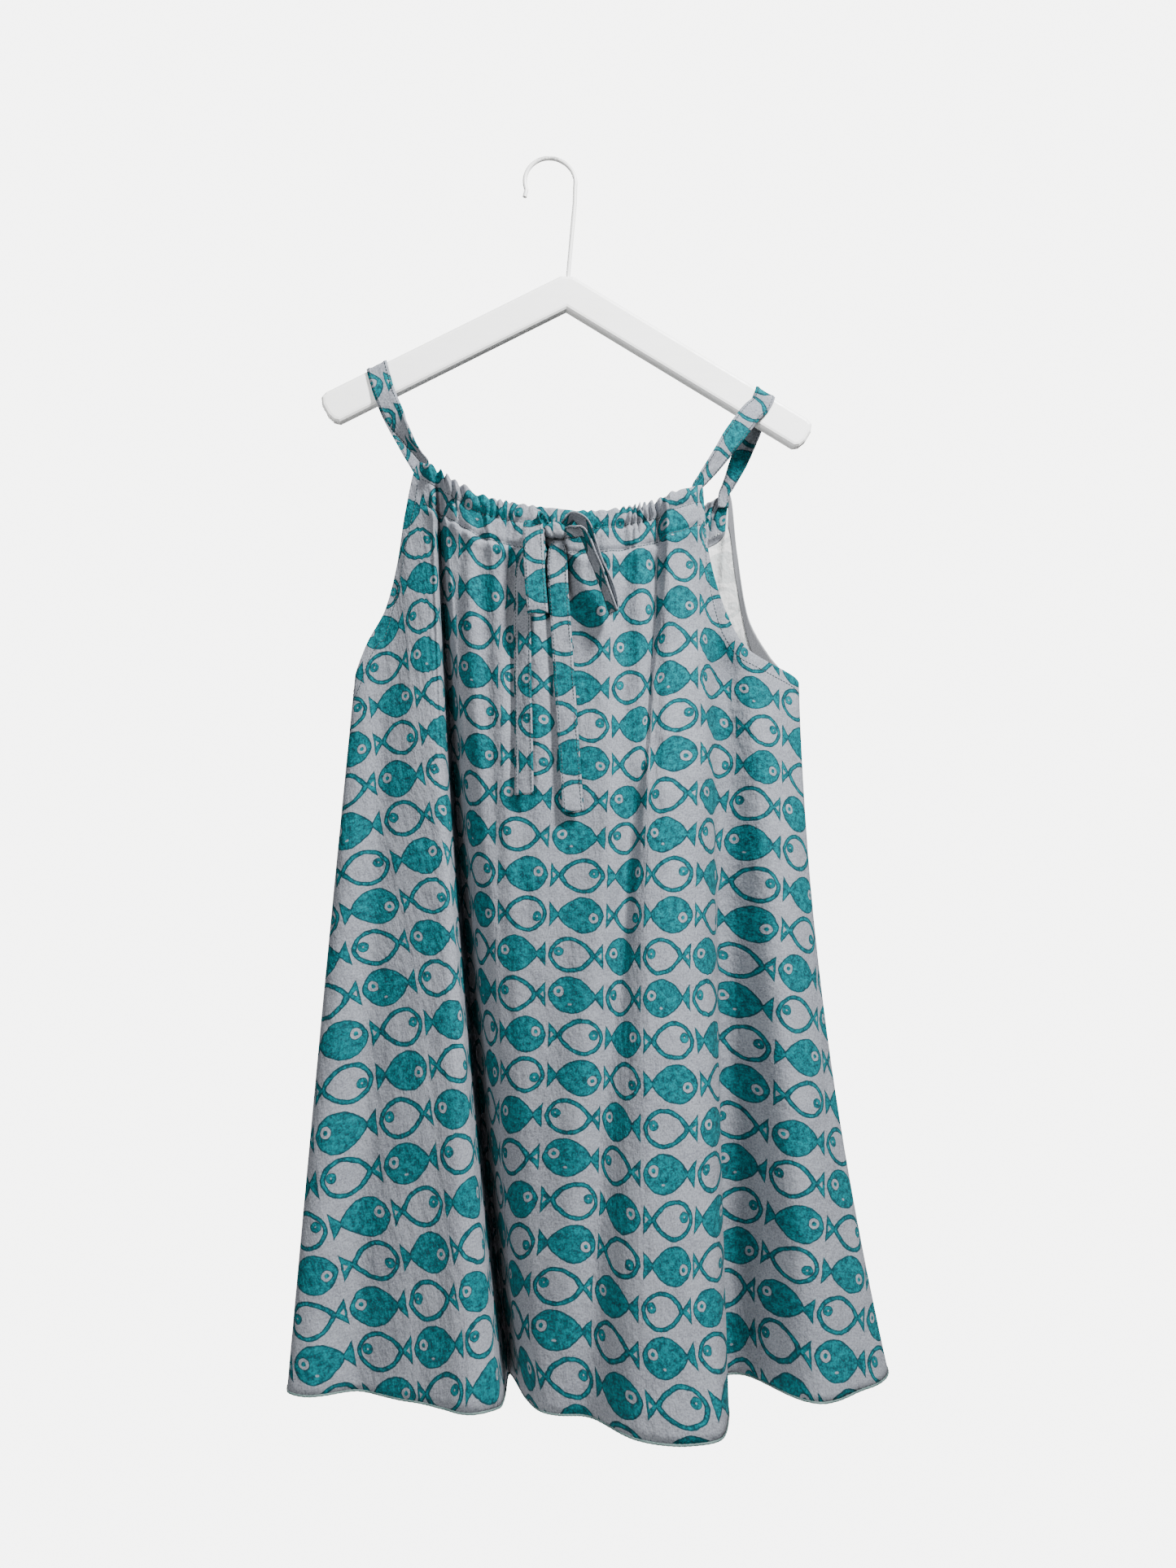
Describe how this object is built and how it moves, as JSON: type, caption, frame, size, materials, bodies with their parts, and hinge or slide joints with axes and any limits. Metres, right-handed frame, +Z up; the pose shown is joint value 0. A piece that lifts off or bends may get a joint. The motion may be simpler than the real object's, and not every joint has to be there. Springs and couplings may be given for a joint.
{
  "type": "trapeze dress on a hanger",
  "caption": "Sleeveless trapeze dress with a drawstring neck, bow and thin straps, flaring into deep hem folds, hung on a white wooden hanger with a wire hook.",
  "frame": {"origin": "inner top of the crown of the hanger's hook, where it rests on its rail or peg", "axes": "+Z up; the front of the dress faces -Y; +X to the right of someone who looks at the front"},
  "size_m": [0.5372, 0.178, 1.1272],
  "materials": {
    "printed_cotton": "matt woven cotton with a teal fish print on grey-lavender",
    "strap_cotton": "the same printed cotton, folded and edge-stitched",
    "grey_bias": "plain grey bias strip, matt",
    "white_paint": "satin white paint on wood",
    "white_wire": "white coated steel wire"
  },
  "bodies": {
    "root": {"front_panel": "printed_cotton", "back_panel": "printed_cotton", "armhole_facing_left_front": "grey_bias", "armhole_facing_left_back": "grey_bias", "armhole_facing_right_front": "grey_bias", "armhole_facing_right_back": "grey_bias", "strap_left": "strap_cotton", "strap_right": "strap_cotton", "tie_tail_left": "strap_cotton", "tie_tail_right": "strap_cotton", "tie_loop_left": "strap_cotton", "tie_loop_right": "strap_cotton", "tie_knot": "strap_cotton", "hanger_body": "white_paint", "hanger_hook": "white_wire"}
  },
  "joints": []
}
